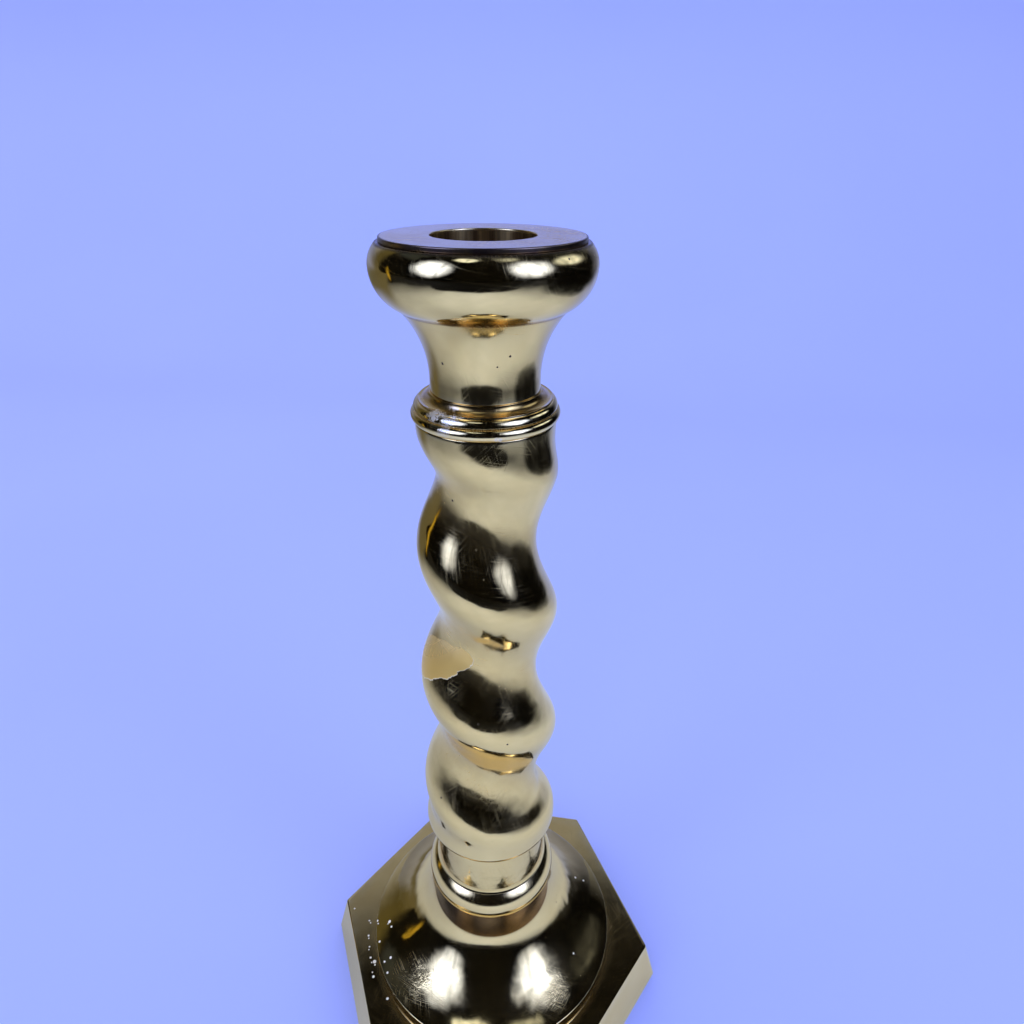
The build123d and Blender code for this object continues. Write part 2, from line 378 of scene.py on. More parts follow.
def addSpots(look, places, colour, rough, metal, height):
    # small ragged spots at measured places, (x, y, z, reach) in millimetres
    s = {"grain": (2100, 3, 0.7), "ragged": 0.95, "spread": 1.6, "range": (0.82, 0.98)}
    w = look["w"]
    ragged = noise(w, look["place"], *s["grain"]) * s["ragged"]
    spots = None
    for x, y, z, reach in places:
        spot = (near(w, look["place"], (x, y, z), reach * s["spread"]) + ragged).above(*s["range"])
        spots = spot if spots is None else spots + spot
    layer(look, spots.limit(), colour, rough, metal, height)


def addScuffs(look, places):
    # worn through to bare, scuffed metal
    s = {"grain": (420, 4, 0.65), "range": (0.44, 0.56), "share": 0.7}
    w = look["w"]
    grain = noise(w, look["place"], *s["grain"]).above(*s["range"]) * s["share"]
    for centre, reach in places:
        worn = near(w, look["place"], centre, reach) * grain
        layer(look, worn, brassTones["bare"], rough=0.35, metal=0.6, height=-2e-5)


def finished(look):
    closeMaterial(look["w"], look["colour"], look["metal"].limit(), look["rough"].limit(), look["height"])
    return look["material"]


# Hexagonal foot.

footSize = {
    "apothem": 52.4, "height": 16.5, "lean": 13.0, "cornerRound": 1.2, "edgeRound": 0.5,
    "skirtRadius": 41.8, "skirtTop": 22.0, "skirtFillet": 0.25, "bellCurve": 34.0, "bellWall": 4.0,
    "bellTopRadius": 19.6, "bellTop": 41.5, "neckRadius": 18.5, "neckTop": 50.5,
    "wall": 4.5, "roof": 4.0, "seatHeight": 37.0, "hollowCorner": 2.5,
    "holeRadius": 4.3, "registerRadius": 9.0, "registerTop": 54.067,
    "arcSteps": 9, "sideSteps": 24, "bellSteps": 90, "hollowSteps": 40, "filletSteps": 8,
    "rowStep": 2.4, "rowMargin": 0.1, "sideMargin": 0.004, "guideApothem": 48.0,
    "cornerWear": 0.8, "outerWall": 0.6,
}


def makeFoot():
    s = footSize
    slope = np.tan(np.radians(s["lean"]))
    rim = np.array([s["skirtRadius"], s["skirtTop"]])
    top = np.array([s["bellTopRadius"], s["bellTop"]])
    chord = np.hypot(*(top - rim))
    reach = np.sqrt(s["bellCurve"] ** 2 - chord ** 2 / 4) / chord
    centre = (rim + top) / 2 + reach * np.array([top[1] - rim[1], rim[0] - top[0]])

    def bell(radius, lowRadius, topHeight, count):
        # hollowed arc about a point off to the side: (c - R cos t, h - R sin t), from a radius up to a height
        low = np.arccos((centre[0] - lowRadius) / radius)
        angle = np.linspace(low, np.arcsin((centre[1] - topHeight) / radius), count)
        return centre - radius * np.stack([np.cos(angle), np.sin(angle)], 1)

    def ringRows(points):  # round rows: hexagon share 0
        points = np.atleast_2d(points)
        return np.column_stack([points, np.zeros(len(points)), np.full(len(points), s["cornerRound"])])

    def hexRow(inset, height, corner):  # six-sided row: share 1
        return np.array([[s["apothem"] - inset, height, 1, corner]])

    roofHeight = s["height"] - s["roof"]
    innerRadius = s["skirtRadius"] - s["bellWall"]
    fillet = tangentArc(
        (s["skirtRadius"] + s["skirtFillet"], s["height"]),
        (s["skirtRadius"], s["height"] + s["skirtFillet"]), (-1, 0), s["filletSteps"])
    hollow = bell(s["bellCurve"] + s["bellWall"], innerRadius, s["seatHeight"], s["hollowSteps"])
    rows = np.concatenate([
        ringRows((s["holeRadius"], s["seatHeight"])),
        ringRows(hollow[::-1]),
        ringRows((innerRadius, roofHeight)),
        hexRow(s["wall"] + roofHeight * slope, roofHeight, s["hollowCorner"]),
        hexRow(s["wall"], 0, s["hollowCorner"]),
        hexRow(0, 0, s["cornerRound"]),
        hexRow(s["height"] * slope, s["height"], s["cornerRound"]),
        ringRows(fillet),
        ringRows(bell(s["bellCurve"], s["skirtRadius"], s["bellTop"], s["bellSteps"])),
        ringRows([
            (s["neckRadius"], s["neckTop"]), (s["registerRadius"], s["neckTop"]),
            (s["registerRadius"], s["registerTop"]), (s["holeRadius"], s["registerTop"]),
        ]),
    ])
    rows = spread(soften(rows, s["edgeRound"]), s["rowStep"], s["rowMargin"])

    # six-sided outline: size * lead(u) + corner * lag(u), straight between the six corner arcs
    corner = np.radians(60 * np.arange(6))[:, None]
    swing = np.radians(np.linspace(-30, 30, s["arcSteps"]))[None]
    point = np.stack([np.cos(corner), np.sin(corner)], -1) / np.cos(np.radians(30))
    lead = np.broadcast_to(point, (6, s["arcSteps"], 2))
    lag = np.stack([np.cos(corner + swing), np.sin(corner + swing)], -1) - point
    inner = np.linspace(0, 1, s["sideSteps"] + 1)[1:-1]
    share = np.concatenate([[s["sideMargin"]], inner, [1 - s["sideMargin"]]])[None, :, None]

    def sides(values):
        ends, starts = values[:, -1:], np.roll(values[:, :1], -1, 0)
        return np.concatenate([values, ends + (starts - ends) * share], 1).reshape(-1, 2)

    isCorner = np.concatenate([np.ones((6, s["arcSteps"])), np.zeros((6, share.size))], 1).reshape(-1)
    lead, lag = sides(lead), sides(lag)
    guide = lead * s["guideApothem"] + lag * s["cornerRound"]
    circle = guide / np.hypot(*guide.T)[:, None]
    size, height, six, corner = (rows[:, i, None, None] for i in range(4))
    outline = six * (size * lead + corner * lag) + (1 - six) * size * circle
    grid = np.concatenate([outline, np.broadcast_to(height, (*outline.shape[:2], 1))], -1)

    # the hollow's rows come first, up to the foot's level rim; the six outer corners are worn
    bend = turning(rows)[:, None]
    sixSided = rows[:, 2] > 0.9
    inside = np.zeros(len(rows))
    inside[:np.argmax((rows[:, 1] < 0.01) & sixSided)] = 1
    outer = sixSided & (rows[:, 0] > s["apothem"] - s["wall"] * s["outerWall"] - rows[:, 1] * slope)
    edge = np.clip(np.clip(bend, 0, 1) + s["cornerWear"] * outer[:, None] * isCorner, 0, 1)
    return surface("hexagonalFoot", grid, inside=inside[:, None], edge=edge, recess=np.clip(-bend, 0, 1))


footMarks = {
    "bellLow": 25.5, "bellHigh": 31.0, "bellFade": 5.0,
    "bellWaves": (120, 1.5, 0.45), "bellWaveHeight": 2.2e-4,
    "crinkle": (700, 3, 0.6, 1.5), "crinklePatch": (65, 2), "crinkleRange": (0.48, 0.66),
    "crinkleHeight": 9e-5,
    "scuffs": (((-22, -26, 26), 12.0), ((-14, -30, 25), 9.0), ((24, -24, 26), 9.0)),
    "scuffHair": 0.7, "scuffRough": 0.1,
    "neckLow": 42.0, "neckHigh": 50.5, "neckFade": 1.2, "shadeDarkTo": -12.0, "shadeBrownFrom": 6.0, "shadeBrownShare": 0.8,
    "wax": (
        (-52.1, -2.8, 16.5, 0.25), (-45.1, -6.3, 16.5, 0.25), (-40.6, -9.0, 22.0, 0.3),
        (-35.8, -9.6, 23.8, 0.45), (-34.5, -11.4, 24.1, 0.3), (-43.6, -11.6, 16.5, 0.3),
        (-42.0, -15.3, 16.5, 0.25), (-37.5, -16.1, 22.3, 0.3), (-40.4, -18.8, 16.5, 0.3),
        (-38.6, -19.9, 16.5, 0.5), (-33.7, -22.4, 22.5, 0.3), (-31.8, -21.2, 23.3, 0.35),
        (-37.4, -24.7, 16.5, 0.35), (-31.6, -25.6, 22.4, 0.3), (-30.5, -30.6, 16.5, 0.35),
        (-43.2, -12.5, 16.5, 0.2), (-44.4, -7.0, 16.5, 0.2), (-41.9, -16.3, 16.5, 0.18),
        (-38.1, -20.9, 16.5, 0.25), (-39.5, -20.3, 16.5, 0.2), (-36.2, -10.3, 23.6, 0.2),
        (-40.0, -10.0, 22.2, 0.2), (-38.2, -23.4, 16.5, 0.2),
        (29.2, 16.0, 25.7, 0.3), (32.3, 16.3, 24.1, 0.25), (30.4, -11.9, 26.1, 0.25),
    ),
    "sand": (900, 5, 0.7), "sandHeight": 1.6e-4, "sandRough": 0.25, "castRough": 0.42,
    "cast": (45, 4, 0.6), "castPale": (0.34, 0.22, 0.09), "castDark": (0.16, 0.1, 0.05),
}


def makeFootBrass():
    s = footMarks
    look = brassLook("footBrass", roughness=0.075, rings=0.1, ringSlope=-1, rub=0.25, waves=2e-5, dirt=0.25)
    w, place, mottle, x, z = look["w"], look["place"], look["mottle"], look["axes"], look["axes"].other(2)
    bell = z.between(s["bellLow"] * mm, s["bellHigh"] * mm, s["bellFade"] * mm)
    look["height"] = look["height"] + bell * noise(w, place, *s["bellWaves"]) * s["bellWaveHeight"]
    crinkle = noise(w, place, *s["crinkle"]) * noise(w, place, *s["crinklePatch"]).above(*s["crinkleRange"])
    for centre, reach in s["scuffs"]:
        scuffed = near(w, place, centre, reach)
        look["height"] = look["height"] + crinkle * scuffed * s["crinkleHeight"]
        look["rough"] = look["rough"] + (look["hair"] * s["scuffHair"] + crinkle * s["scuffRough"]) * scuffed

    # painted shade and reflection under the bead: the neck is dulled, painted near black on the left and
    # brown on the right
    neck = z.between(s["neckLow"] * mm, s["neckHigh"] * mm, s["neckFade"] * mm)
    shade = (x.above(s["shadeDarkTo"] * mm, s["shadeBrownFrom"] * mm) * s["shadeBrownShare"] + (mottle - 0.5)).limit()
    layer(look, neck, shade.tint(brassTones["shadeDark"], brassTones["brown"]), rough=0.2)
    addSpots(look, s["wax"], brassTones["wax"], rough=0.5, metal=0.1, height=6e-5)

    # the hollow is left as it came from the sand mould
    sand = noise(w, place, *s["sand"])
    cast = noise(w, place, *s["cast"]).tint(s["castPale"], s["castDark"])
    layer(look, field(w, "inside"), cast, rough=s["castRough"] + sand * s["sandRough"])
    look["height"] = look["height"] + field(w, "inside") * sand * s["sandHeight"]
    return finished(look)


seat(makeFoot(), "hex_base", "candlestick", makeFootBrass())


# Bead ring under the stem.

beadSize = {
    "bore": 9.1, "low": 50.5, "high": 61.2, "radius": 20.6, "lowRadius": 18.7, "highRadius": 18.2,
    "chamfer": 0.4, "edgeRound": 0.2, "beadSteps": 48,
}


def makeBead():
    s = beadSize
    middle = (s["radius"], (s["low"] + s["high"]) / 2)
    shoulder = (s["highRadius"], s["high"] - s["chamfer"])
    rows = run(
        (s["bore"], s["high"]), (s["bore"], s["low"]),
        arcThrough((s["lowRadius"], s["low"]), middle, shoulder, s["beadSteps"]),
        (s["highRadius"] - s["chamfer"], s["high"]),
    )
    return spun("beadRing", spread(soften(rows, s["edgeRound"])))


def makeBeadBrass():
    return finished(brassLook("ringBrass", roughness=0.1, rings=0.35))


seat(makeBead(), "base_collar", "candlestick", makeBeadBrass())


# Barley-twist stem.

stemSize = {
    "bore": 6.5, "register": 9.0, "low": 61.2, "lowRegister": 57.633, "highRegister": 217.033,
    "footFlare": 18.0, "footChamfer": 0.3, "footFlareHeight": 1.7, "footRadius": 17.4,
    "drumTopRadius": 16.95, "footTop": 79.1, "swellRadius": 20.3, "swellRound": 2.5,
    "twistLength": 133.2, "pitch": 41.4, "startAngle": -20.0,
    "lowRadius": 17.6, "highRadius": 14.5, "lowOffset": 3.1, "highOffset": 2.6,
    "lowFade": 13.0, "highFade": 15.5, "endRadius": 16.5, "edgeRound": 0.25,
    "rows": 350, "columns": 176, "flareSteps": 10, "swellSteps": 14,
    "fewEvery": 60, "joinLow": 0.05, "joinHigh": 0.02,
    "grooveFrom": 0.62, "grooveFilm": 0.3, "grooveLeast": 1.5, "nearlyRound": 0.3,
}


def smoothStep(x):
    x = np.clip(x, 0, 1)
    return x ** 2 * (3 - 2 * x)


def makeStem():
    s = stemSize
    twistLow = s["footTop"] + s["swellRound"]
    twistHigh = twistLow + s["twistLength"]
    flareLow = s["low"] + s["footChamfer"]
    flareTop = (s["footRadius"], flareLow + s["footFlareHeight"])
    swellLow = (s["swellRadius"] - s["swellRound"], s["footTop"])
    below = run(
        (s["bore"], s["lowRegister"]), (s["register"], s["lowRegister"]), (s["register"], s["low"]),
        (s["footFlare"] - s["footChamfer"], s["low"]),
        tangentArc(flareTop, (s["footFlare"], flareLow), (0, -1), s["flareSteps"])[::-1],
        (s["drumTopRadius"], s["footTop"]),
        tangentArc(swellLow, (s["swellRadius"], twistLow), (1, 0), s["swellSteps"]),
    )
    above = run(
        (s["endRadius"], twistHigh), (s["register"], twistHigh), (s["register"], s["highRegister"]),
        (s["bore"], s["highRegister"]),
    )

    # twist: a circle of radius R(h) whose centre winds left-handed at offset e(h) about the axis;
    # smooth steps at both ends fade e to 0 and bring R to a plain round
    h = np.linspace(0, s["twistLength"], s["rows"])[1:-1]
    share = h / s["twistLength"]
    low, high = smoothStep(h / s["lowFade"]), smoothStep((s["twistLength"] - h) / s["highFade"])
    radius = s["lowRadius"] + share * (s["highRadius"] - s["lowRadius"])
    radius = low * radius + (1 - low) * s["swellRadius"]
    radius = high * radius + (1 - high) * s["endRadius"]
    offset = (s["lowOffset"] + share * (s["highOffset"] - s["lowOffset"])) * low * high
    wind = np.radians(s["startAngle"] - 360 * h / s["pitch"])
    twist = np.column_stack([radius, twistLow + h])

    # the plain ends are rounded with a few of the twist's rows between them, then all of its rows go in
    few = twist[::s["fewEvery"]]
    plain = spread(soften(np.concatenate([below, few, above]), s["edgeRound"]))
    cut = np.argmax(plain[:, 1] >= twistLow - 1e-6)
    lower = plain[:cut + 1]
    upper = plain[cut + 1:]
    upper = upper[np.argmax(upper[:, 1] >= twistHigh - s["edgeRound"] - 0.01):]
    keep = (twist[:, 1] > lower[-1, 1] + s["joinLow"]) & (twist[:, 1] < upper[0, 1] - s["joinHigh"])
    rows = np.concatenate([lower, twist[keep], upper])
    centre = np.zeros_like(rows)
    winding = np.column_stack([offset * np.cos(wind), offset * np.sin(wind)])
    centre[len(lower):len(lower) + keep.sum()] = winding[keep]

    angle = np.linspace(0, 2 * np.pi, s["columns"], endpoint=False)
    x = centre[:, :1] + rows[:, :1] * np.cos(angle)
    y = centre[:, 1:] + rows[:, :1] * np.sin(angle)
    grid = np.stack([x, y, rows[:, 1:] + 0 * angle], -1)

    # film gathers in the groove, where the wall comes nearest the axis
    depth = np.hypot(centre[:, :1], centre[:, 1:])
    groove = (rows[:, :1] + depth - np.hypot(x, y)) / (2 * np.maximum(depth, s["nearlyRound"]))
    groove = np.where(depth > s["nearlyRound"], groove, 0)
    film = s["grooveFilm"] * np.clip(groove - s["grooveFrom"], 0, 1) / (1 - s["grooveFrom"])
    bend = turning(rows)[:, None]
    recess = np.clip(np.clip(-bend, 0, 1) + film * (depth > s["grooveLeast"]), 0, 1)
    return surface("twistStem", grid, edge=np.clip(bend, 0, 1) + 0 * x, recess=recess)


stemMarks = {
    "pits": (
        (-6.1, -10.6, 197.4, 0.25), (8.1, -17.7, 128.4, 0.22),
        (-12.1, -14.5, 99.8, 0.28), (0.4, -18.5, 135.4, 0.2),
    ),
    "paintedGoldLow": 77.6, "paintedGoldHigh": 79.3, "paintedGoldFade": 0.6, "paintedGoldShare": 0.7,
    "residue": (((-15.0, -6.5, 146.3), 8.5), ((-10.0, -10.3, 149.6), 7.5), ((-5.0, -12.4, 152.0), 4.5)),
    "residueTone": (0.71, 0.47, 0.13), "residueTop": (0.78, 0.55, 0.22), "residueRim": (0.85, 0.74, 0.5),
    # heights above a plane that leans along X by slope; the rim shows below it, and the thin top above it
    "slope": 0.75, "rimEnds": (153.6, 155.6), "topStarts": (154.5, 165.0), "topThin": 0.45,
    "blotGrain": (600, 3), "blotMottle": 0.5, "blotFine": 0.3, "blotReach": 0.7,
    "blotRange": (0.36, 0.44), "rimRange": (0.37, 0.4, 0.03),
}


def makeStemBrass():
    s = stemMarks
    look = brassLook("stemBrass", roughness=0.068, rings=0.05, ringSlope=0.3, rub=0.7, waves=2.5e-4)
    w, place, x, z = look["w"], look["place"], look["axes"], look["axes"].other(2)
    addSpots(look, s["pits"], brassTones["pit"], rough=0.45, metal=0.5, height=-3e-5)
    # painted reflection: a gold-brown band at the top of the drum, in the crease under the swell, standing in
    # for the brass it mirrors
    drumTop = z.between(s["paintedGoldLow"] * mm, s["paintedGoldHigh"] * mm, s["paintedGoldFade"] * mm)
    layer(look, drumTop * s["paintedGoldShare"], brassTones["toned"], rough=0.14)

    # dried polish left in one turn of the groove, lifting along a pale ragged lower edge
    blot = (look["mottle"] - 0.5) * s["blotMottle"] + (noise(w, place, *s["blotGrain"]) - 0.5) * s["blotFine"]
    for centre, reach in s["residue"]:
        blot = blot + near(w, place, centre, reach) * s["blotReach"]
    rise = z - x * s["slope"]
    under = 1 - rise.above(*(v * mm for v in s["rimEnds"]))
    upper = rise.above(*(v * mm for v in s["topStarts"]))
    tone = upper.tint(s["residueTone"], s["residueTop"])
    crust = blot.above(*s["blotRange"]) * (1 - upper * s["topThin"])
    layer(look, crust, tone, rough=0.3, metal=0.4, height=2e-5)
    layer(look, blot.between(*s["rimRange"]) * under, s["residueRim"], rough=0.45, metal=0.3, height=4e-5)
    return finished(look)


seat(makeStem(), "twist_stem", "candlestick", makeStemBrass())


# Moulded ring under the capital.

mouldSize = {
    "bore": 9.1, "low": 214.8, "bead": 2.6, "quirk": 0.4, "ovolo": 1.6, "fillet": 0.4, "cove": 1.7,
    "lowRadius": 16.4, "beadRadius": 17.3, "highRadius": 16.6, "quirkDepth": 0.5,
    "ovoloRadius": 15.7, "filletRadius": 15.4, "coveRadius": 12.95, "edgeRound": 0.1,
    "beadSteps": 28, "ovoloSteps": 16, "coveSteps": 18,
}


def makeMoulding():
    s = mouldSize
    beadTop = s["low"] + s["bead"]
    ovoloLow = beadTop + s["quirk"]
    ovoloTop = ovoloLow + s["ovolo"]
    coveLow = ovoloTop + s["fillet"]
    top = coveLow + s["cove"]
    beadMiddle = (s["beadRadius"], (s["low"] + beadTop) / 2)
    rows = run(
        (s["bore"], top), (s["bore"], s["low"]),
        arcThrough((s["lowRadius"], s["low"]), beadMiddle, (s["highRadius"], beadTop), s["beadSteps"]),
        (s["highRadius"] - s["quirkDepth"], beadTop + s["quirk"] / 2),
        tangentArc((s["highRadius"], ovoloLow), (s["ovoloRadius"], ovoloTop), (0, 1), s["ovoloSteps"]),
        (s["filletRadius"], ovoloTop),
        tangentArc((s["coveRadius"], top), (s["filletRadius"], coveLow), (0, -1), s["coveSteps"])[::-1],
    )
    return spun("mouldedRing", spread(soften(rows, s["edgeRound"])))


mouldMarks = {
    "coveLow": 219.9, "coveHigh": 221.4, "coveFade": 0.2, "coveGoldMottle": 0.7, "coveGoldLeast": 0.5,
    "scuffs": (((-6.1, -15, 219), 4.6), ((-9.1, -13, 219.2), 2.4), ((5.5, -16.1, 215.2), 1.3)),
}


def makeMouldBrass():
    s = mouldMarks
    look = brassLook("mouldBrass", roughness=0.07, rings=0.4, rub=0.55)
    # painted reflection: the cove is painted gold-brown and rougher, standing in for the brass it mirrors
    cove = look["axes"].other(2).between(s["coveLow"] * mm, s["coveHigh"] * mm, s["coveFade"] * mm)
    dulled = (look["mottle"] * s["coveGoldMottle"] + s["coveGoldLeast"]).limit()
    layer(look, cove * dulled, brassTones["toned"], rough=0.2)
    addScuffs(look, s["scuffs"])
    return finished(look)


seat(makeMoulding(), "upper_collar", "candlestick", makeMouldBrass())


# Capital.

capitalSize = {
    "low": 221.5, "spigotLow": 219.267, "register": 9.0, "holeRadius": 4.05, "holeTop": 228.5,
    "neckRadius": 12.6, "flareLow": 224.4, "flareTop": 239.4, "flareRadius": 18.2,
    "creaseStep": 0.4, "bulbLow": 239.7, "bulbMiddle": 248.4, "bulbRadius": 24.05,
    "shoulderRadius": 22.2, "top": 252.9, "cupRadius": 12.6, "cupLow": 231.5,
    "edgeRound": 0.12, "flareSteps": 48, "bulbSteps": 64, "shoulderSteps": 32,
}


def makeCapital():
    s = capitalSize
    crease = (s["flareRadius"] + s["creaseStep"], s["bulbLow"])
    widest = (s["bulbRadius"], s["bulbMiddle"])
    flareTop = (s["flareRadius"], s["flareTop"])
    rows = run(
        (0, s["holeTop"]), (s["holeRadius"], s["holeTop"]), (s["holeRadius"], s["spigotLow"]),
        (s["register"], s["spigotLow"]), (s["register"], s["low"]), (s["neckRadius"], s["low"]),
        tangentArc((s["neckRadius"], s["flareLow"]), flareTop, (0, 1), s["flareSteps"]),
        tangentArc(widest, crease, (0, -1), s["bulbSteps"])[::-1],
        tangentArc(widest, (s["shoulderRadius"], s["top"]), (0, 1), s["shoulderSteps"]),
        (s["cupRadius"], s["top"]), (s["cupRadius"], s["cupLow"]), (0, s["cupLow"]),
    )
    rows = spread(soften(rows, s["edgeRound"], closed=False), closed=False)
    return spun("flaredCapital", rows, closed=False)


capitalMarks = {
    "pits": ((-6.9, -11.3, 229.9, 0.25), (7.5, -11.9, 232.2, 0.24), (4.9, -12.4, 230.0, 0.16)),
    "rimLow": 252.4, "rimHigh": 252.75, "rimMottle": 1.2, "rimCloud": 0.8, "rimShift": -0.3,
    "creaseLow": 239.25, "creaseHigh": 239.6, "creaseFade": 0.15, "creaseRadius": (17.0, 17.5),
    "creaseShadeMottle": 0.8, "creaseShadeLeast": 0.2,
}


def makeCapitalBrass():
    s = capitalMarks
    look = brassLook("capitalBrass", roughness=0.07, rings=1.1, rub=0.55, waves=2.4e-4)
    mottle, z = look["mottle"], look["axes"].other(2)
    addSpots(look, s["pits"], brassTones["pit"], rough=0.45, metal=0.5, height=-3e-5)
    # a dark, rougher band at the top beside the nozzle's rim, and a brown line in the crease under the bulb
    rim = z.above(s["rimLow"] * mm, s["rimHigh"] * mm)
    rim = rim * (mottle * s["rimMottle"] + look["cloud"] * s["rimCloud"] + s["rimShift"]).limit()
    layer(look, rim, brassTones["dark"], rough=0.32)
    # painted shade: the crease under the bulb is painted brown, broken up by the mottle
    crease = z.between(s["creaseLow"] * mm, s["creaseHigh"] * mm, s["creaseFade"] * mm)
    outside = look["radius"].above(*(v * mm for v in s["creaseRadius"]))
    creaseShade = (mottle * s["creaseShadeMottle"] + s["creaseShadeLeast"]).limit()
    layer(look, crease * outside * creaseShade, brassTones["brown"], rough=0.3)
    return finished(look)


seat(makeCapital(), "capital", "candlestick", makeCapitalBrass())


# Loose candle nozzle.

nozzleSize = {
    "bore": 11.1, "floorTop": 233.5, "low": 232.0, "tubeRadius": 12.3,
    "flangeLow": 252.9, "flangeRadius": 21.5, "top": 254.0, "edgeRound": 0.3,
    "rowStep": 2.0, "rowMargin": 0.1,
}


def makeNozzle():
    s = nozzleSize
    rows = run(
        (0, s["low"]), (s["tubeRadius"], s["low"]), (s["tubeRadius"], s["flangeLow"]),
        (s["flangeRadius"], s["flangeLow"]), (s["flangeRadius"], s["top"]), (s["bore"], s["top"]),
        (s["bore"], s["floorTop"]), (0, s["floorTop"]),
    )
    rows = spread(soften(rows, s["edgeRound"], closed=False), s["rowStep"], s["rowMargin"], closed=False)
    return spun("candleNozzle", rows, closed=False)


nozzleMarks = {
    "rim": 20.9, "rimFade": 0.4, "rimMottle": 0.7, "rimLeast": 0.45,
    "wallRadius": 11.4, "wallTop": 253.6, "wallFade": 0.2,
    "streak": (420, 3, 0.6), "streakDrag": 0.05, "streakRange": (0.35, 0.65),
    "streakPale": (0.6, 0.42, 0.17), "streakDark": (0.2, 0.12, 0.05),
}


def makeNozzleBrass():
    s = nozzleMarks
    look = brassLook("nozzleBrass", roughness=0.19, rings=0.5, rub=0.25)
    w, axes, radius, z = look["w"], look["axes"], look["radius"], look["axes"].other(2)
    rim = radius.above(s["rim"] * mm, (s["rim"] + s["rimFade"]) * mm)
    rim = rim * (look["mottle"] * s["rimMottle"] + s["rimLeast"]).limit()
    layer(look, rim, brassTones["dark"], rough=0.3)

    # the socket is browned by candles, in streaks that run down the wall
    down = w.make("ShaderNodeCombineXYZ", {}, {0: axes, 1: axes.other(1), 2: z * s["streakDrag"]})
    streak = noise(w, down, *s["streak"]).above(*s["streakRange"])
    socket = 1 - radius.above(s["wallRadius"] * mm, (s["wallRadius"] + s["wallFade"]) * mm)
    socket = socket * (1 - z.above((s["wallTop"] - s["wallFade"]) * mm, s["wallTop"] * mm))
    layer(look, socket, streak.tint(s["streakPale"], s["streakDark"]), rough=0.3)
    return finished(look)


seat(makeNozzle(), "nozzle", "nozzle", makeNozzleBrass())


# Rod, nut and washer inside the foot.

rodSize = {
    "radius": 4.0, "low": 25.9, "high": 227.5, "chamfer": 0.8,
    "tipRadius": 0.8, "tipRound": 0.2, "tipLift": 0.02, "threadStart": 0.1,
    "threadTop": 37.0, "pitch": 1.25, "threadDepth": 0.6, "threadFade": 1.5, "threadFilm": 0.7,
    "threadRows": 130, "columns": 96,
}
nutSize = {
    "apothem": 6.5, "bore": 4.05, "low": 28.9, "high": 35.4, "face": 6.3, "faceRound": 0.15, "bevel": 0.5,
    "coneRise": 0.75, "coneRows": 9, "coneAngle": 30, "wallMargin": 1.0, "wallRows": 5,
    "sharp": 24, "columns": 96,
}
washerSize = {"radius": 12.0, "bore": 4.3, "low": 35.4, "high": 37.0, "edgeRound": 0.25, "columns": 128}
steelLook = {
    "spangle": (700, 4, 0.6), "stain": (130, 5, 0.65), "stainRange": (0.5, 0.68),
    "stainShare": 0.7, "stainRecess": 0.4,
    "zincPale": (0.58, 0.57, 0.54), "zincDark": (0.42, 0.41, 0.39), "stainTone": (0.2, 0.1, 0.045),
    "rough": 0.3, "roughSpangle": 0.14, "roughStain": 0.3, "stainDull": 0.6,
    "spangleHeight": 1.5e-5, "stainHeight": 2e-5,
}


def makeRod():
    # thread: r = radius - depth * triangle(z / pitch - u / 2 pi), fading out above the nut
    s = rodSize
    shoulder = s["radius"] - s["chamfer"]
    angle = np.linspace(0, 2 * np.pi, s["columns"], endpoint=False)
    thread = np.linspace(s["low"] + s["chamfer"], s["threadTop"], s["threadRows"])
    rows = np.concatenate([
        [(s["tipRadius"], s["low"]), (shoulder - s["tipRound"], s["low"])],
        [(shoulder, s["low"] + s["tipLift"])],
        np.column_stack([np.full(s["threadRows"], s["radius"]), thread]),
        [(s["radius"], s["high"] - s["chamfer"]), (shoulder, s["high"]), (s["tipRadius"], s["high"])],
    ])
    height = rows[:, 1:]
    wave = np.abs(((height / s["pitch"] - angle / (2 * np.pi)) % 1) * 2 - 1)
    cut = (height > s["low"] + s["threadStart"]) * np.clip((s["threadTop"] - height) / s["threadFade"], 0, 1)
    radius = rows[:, :1] - s["threadDepth"] * wave * cut
    grid = np.stack([radius * np.cos(angle), radius * np.sin(angle), height + 0 * angle], -1)
    return surface("tieRod", grid, False, True, edge=0 * radius, recess=wave * (cut > 0) * s["threadFilm"])


def makeNut():
    # six-sided wall r = apothem / cos(u from the flat), cut back to a cone at both ends
    s = nutSize
    angle = np.linspace(0, 2 * np.pi, s["columns"], endpoint=False)
    wall = s["apothem"] / np.cos((angle + np.pi / 6) % (np.pi / 3) - np.pi / 6)
    rise = np.linspace(0, s["coneRise"], s["coneRows"])
    middle = np.linspace(s["low"] + s["wallMargin"], s["high"] - s["wallMargin"], s["wallRows"])
    height = np.concatenate([s["low"] + rise, middle, s["high"] - rise[::-1]])
    cone = s["face"] + np.minimum(height - s["low"], s["high"] - height) / np.tan(np.radians(s["coneAngle"]))
    outer = np.minimum(wall[None], cone[:, None])

    def ring(radius):
        return np.full((1, s["columns"]), radius)

    mouth, face = s["bore"] + s["bevel"], s["face"] - s["faceRound"]
    radius = np.concatenate([
        ring(s["bore"]), ring(s["bore"]), ring(mouth), ring(face), outer, ring(face), ring(mouth)])
    boreEnds = [s["high"] - s["bevel"], s["low"] + s["bevel"]]
    height = np.concatenate([boreEnds, [s["low"]] * 2, height, [s["high"]] * 2])
    grid = np.stack([radius * np.cos(angle), radius * np.sin(angle), height[:, None] + 0 * angle], -1)
    nut = surface("rodNut", grid, edge=0 * radius, recess=0 * radius)
    nut.data.set_sharp_from_angle(angle=np.radians(s["sharp"]))
    return nut


def makeWasher():
    s = washerSize
    rows = run(
        (s["bore"], s["low"]), (s["radius"], s["low"]), (s["radius"], s["high"]), (s["bore"], s["high"]))
    return spun("rodWasher", spread(soften(rows, s["edgeRound"])), True, s["columns"])


